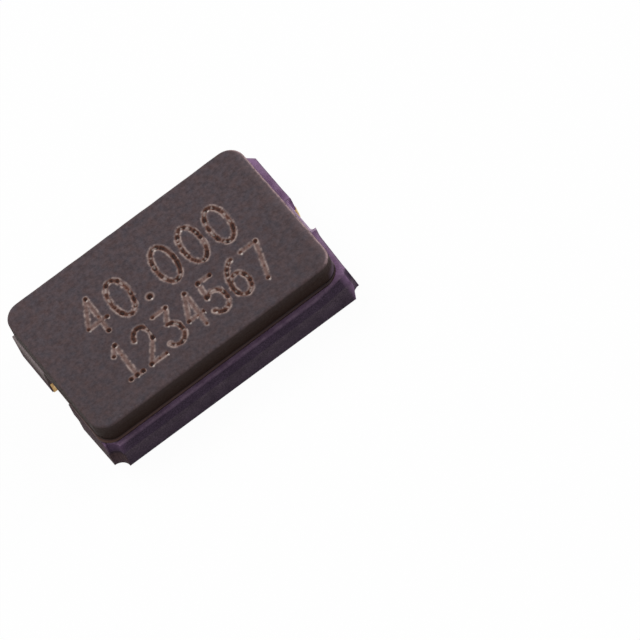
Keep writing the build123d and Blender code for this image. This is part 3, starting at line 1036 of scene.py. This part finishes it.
# Terminals: a closed profile carried round each slot: lining, rolled lip, pad and back along the ceramic

terminal = dict(
    plating=0.02, lip=0.035, lipSteps=6, padEdge=0.008, padCut=0.3, padCorner=0.03, pinMark=0.18,
    wallSteps=6, cornerSteps=10, floorSteps=8, padShares=(0.25, 0.5, 0.75, 0.9, 1.0),
    tip=0.04,  # by how much the right lining stands out past the pad's end, on the wall behind
    sharpAngle=40,
    # By point of the profile: the lining's top, six round the lip, five across the pad, three round its edge
    # and two back along the ceramic
    border=(1, 0.8, 0.6, 0.4, 0.3, 0.3, 0.3, 0, 0, 0, 0.4, 0.8, 0.6, 0, 0, 0, 1),
    # edge: share of the worn and painted-highlight edge tone
    edge=(0, 0, 0.5, 1, 1, 0.6, 0.2, 0, 0, 0, 0, 0.3, 1, 0.8, 0.3, 0, 0),
)


def slotPath(t, e, end, narrow):
    # From the slot's mouth along one wall, round the floor and back, moved by e into the opening. The wall
    # behind starts at the given end and is moved in by narrow, the one in front starts at the pad's end.
    half, depth, corner = base["slotWidth"] / 2, base["slotDepth"], base["slotCorner"]
    floor, bend = baseHalf[0] - depth + e, baseHalf[0] - depth + corner
    behind, front = (np.concatenate([
        run((mouth, half - e), (bend, half - e), t["wallSteps"]),
        bow((bend, half - corner), corner - e, 90, 180, t["cornerSteps"]),
        run((floor, half - corner), (floor, 0), t["floorSteps"]),
    ]) for mouth in (end, padHigh[0]))
    path = np.concatenate([behind, [(floor, 0)], front[::-1] * (1, -1)])
    return moveWall(base, path, 1, half, -narrow)


def padPath(t, inward, clipped):
    # The pad's outer edge with as many points as the slot's path: side, corner, inner edge
    end, inner, half = padHigh[0], padLow[0] + inward, padHigh[1] - inward

    def halfPath(cut):
        a, b = np.array([inner + cut, half]), np.array([inner, half - cut])
        if cut > t["padCorner"]:
            corner = run(a, b, t["cornerSteps"])
        else:
            corner = bow((inner + cut, half - cut), cut, 90, 180, t["cornerSteps"])
        side, across = run((end, half), a, t["wallSteps"]), run(b, (inner, 0), t["floorSteps"])
        return np.concatenate([side, corner, across])

    marked = t["pinMark"] if clipped else t["padCorner"]
    return np.concatenate([halfPath(marked), [(inner, 0)], halfPath(t["padCorner"])[::-1] * (1, -1)])


def makeTerminal(name, t, side, clipped, mouth, narrow):
    skin, lip, top = t["plating"], t["lip"], padHigh[2]

    def lining(e, height):
        return raised(slotPath(t, e, mouth, narrow), height)

    profile = [lining(skin, top)]
    profile += [
        lining(skin - lip * (1 - math.cos(a)), lip * (1 - math.sin(a)))
        for a in np.radians(np.linspace(0, 90, t["lipSteps"]))
    ]
    rolled = slotPath(t, skin - lip, mouth, narrow)
    rim = padPath(t, t["padEdge"], clipped)
    cut = t["padCut"] * t["padEdge"]
    profile += [raised(rolled + (rim - rolled) * share, 0.0) for share in t["padShares"]]
    profile += [raised(padPath(t, cut, clipped), cut)]
    profile += [raised(padPath(t, 0.0, clipped), height) for height in (t["padEdge"], skin)]
    profile += [lining(0.0, skin), lining(0.0, top)]
    points = np.stack(profile, axis=1)  # path first, profile second
    numbers = numberLoops(points)
    ahead = np.roll(numbers, -1, axis=1)
    faces = np.stack([numbers[:-1], numbers[1:], ahead[1:], ahead[:-1]], axis=-1).reshape(-1, 4).tolist()
    faces += [numbers[0].tolist(), numbers[-1, ::-1].tolist()]
    points = points.reshape(-1, 3) * (side, 1, 1)
    if side < 0:
        faces = [face[::-1] for face in faces]
    # The right tip is painted fully in the edge tone as a highlight
    atTip = np.abs(points[:, 0]) > padHigh[0] + t["tip"] / 2
    masks = dict(border=np.where(atTip, 0, np.tile(t["border"], len(numbers))),
                 edge=np.where(atTip, 1, np.tile(t["edge"], len(numbers))))
    return makePiece(name, points, faces, masks, goldPlating, t["sharpAngle"])


for name, side, clipped, mouth, narrow, node in (
    ("terminalLeft", -1, True, padHigh[0], 0.0, "terminal_left"),
    ("terminalRight", 1, False, padHigh[0] + terminal["tip"], base["narrowRight"], "terminal_right"),
):
    piece = makeTerminal(name, terminal, side, clipped, mouth, narrow)
    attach(piece, "root")
    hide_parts(node)


# Pieces inside keep their solids and get their finishes

innerNodes = {
    "inner_lead_near": innerMaterials["printedLead"],
    "inner_lead_far": innerMaterials["printedLead"],
    "adhesive_dot_near": innerMaterials["silverAdhesive"],
    "adhesive_dot_far": innerMaterials["silverAdhesive"],
    "electrode_top": innerMaterials["electrodeFilm"],
    "electrode_bottom": innerMaterials["electrodeFilm"],
    "quartz_blank": lappedQuartz,
}
for nodeName, material in innerNodes.items():
    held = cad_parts[nodeName].data.materials
    held.clear()
    held.append(material)
print("inner pieces finished:", len(innerNodes))


# Floor and surroundings: white to the eye and to reflections, with the object's shadow kept

surroundings = dict(
    floorSize=300.0, floorLevel=-0.004,  # just clear of the pads
    floorTone=(0.96, 0.96, 0.96, 1.0),
    whiteShare=0.965,  # how much of the floor's look is plain white
    worldTone=(1.0, 1.0, 1.0, 1.0), worldLight=0.28,
)


def seenShare(tree):
    # 1 for rays from the camera and for reflected or transmitted ones, else 0
    path = tree.nodes.new("ShaderNodeLightPath").outputs
    seen = calculate(tree, "MAXIMUM", path["Is Camera Ray"], path["Is Glossy Ray"])
    return calculate(tree, "MAXIMUM", seen, path["Is Transmission Ray"])


def mixShaders(tree, factor, first, second):
    node = tree.nodes.new("ShaderNodeMixShader")
    for socket, given in zip(node.inputs, (factor, first, second)):
        feed(tree, socket, given)
    return node.outputs[0]


def makeSurroundings(s):
    half = s["floorSize"] / 2
    corners = np.array([(-half, -half), (half, -half), (half, half), (-half, half)])
    mesh = bpy.data.meshes.new("floor")
    mesh.from_pydata((raised(corners, s["floorLevel"]) * mm).tolist(), [], [(0, 1, 2, 3)])
    material, tree = startMaterial("paleFloor")
    tree.nodes.remove(tree.nodes["Principled BSDF"])
    matte = addNode(tree, "ShaderNodeBsdfDiffuse", Color=s["floorTone"])
    glow = addNode(tree, "ShaderNodeEmission", Strength=1.0)
    share = calculate(tree, "MULTIPLY", seenShare(tree), s["whiteShare"])
    blend = mixShaders(tree, share, matte.outputs[0], glow.outputs[0])
    # From below the floor is clear, so that the underside can be looked at
    fromBelow = tree.nodes.new("ShaderNodeNewGeometry").outputs["Backfacing"]
    clear = tree.nodes.new("ShaderNodeBsdfTransparent").outputs[0]
    oneSided = mixShaders(tree, fromBelow, blend, clear)
    feed(tree, tree.nodes["Material Output"].inputs["Surface"], oneSided)
    mesh.materials.append(material)
    floor = bpy.data.objects.new("floor", mesh)
    bpy.context.scene.collection.objects.link(floor)

    world = bpy.data.worlds.new("whiteStudio")
    world.use_nodes = True
    tree = world.node_tree
    background = tree.nodes["Background"]
    background.inputs["Color"].default_value = s["worldTone"]
    feed(tree, background.inputs["Strength"], spread(tree, seenShare(tree), 0.0, 1.0, s["worldLight"], 1.0))
    bpy.context.scene.world = world


makeSurroundings(surroundings)
print("floor and surroundings made")
